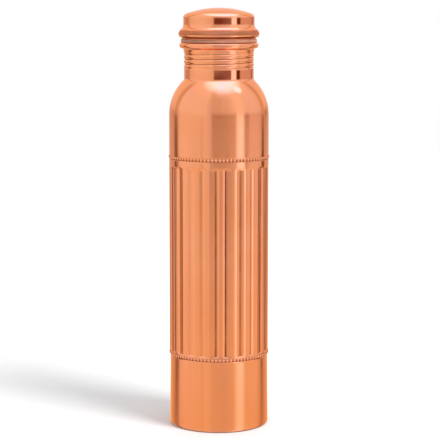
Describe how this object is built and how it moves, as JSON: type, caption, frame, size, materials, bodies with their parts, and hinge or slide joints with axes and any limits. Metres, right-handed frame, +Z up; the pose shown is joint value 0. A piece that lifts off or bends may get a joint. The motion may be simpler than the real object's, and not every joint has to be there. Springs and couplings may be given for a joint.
{
  "type": "copper water bottle",
  "caption": "Tall copper water bottle with a fluted wall between two beaded rings and a screw cap with a knurled grip ring.",
  "frame": {"origin": "centre of the foot, on the surface that the bottle stands on", "axes": "+Z up along the bottle's axis, -Y towards the front"},
  "size_m": [0.0716, 0.0714, 0.2969],
  "materials": {
    "copper_body": "polished copper, lacquered",
    "copper_base": "satin copper",
    "copper_cap": "polished copper, knurled grip ring",
    "copper_cup": "satin copper",
    "silicone": "translucent silicone"
  },
  "bodies": {
    "bottle": {"bottle_shell": "copper_body", "base_disc": "copper_base"},
    "washer": {"silicone_washer": "silicone"},
    "cap": {"cap_shell": "copper_cap", "threaded_cup": "copper_cup"}
  },
  "joints": [
    {"name": "cap_turn", "type": "hinge", "parent": "washer", "child": "cap", "pos_m": [0, 0, 0.275], "axis": [0, 0, 1], "range_deg": [0, 2700]},
    {"name": "cap_rise", "type": "slide", "parent": "bottle", "child": "washer", "axis": [0, 0, 1], "range_m": [0, 0.0256]}
  ],
  "couplings": [
    {"joint": "cap_rise", "follows": "cap_turn", "m_per_rad": 0.00054113}
  ]
}
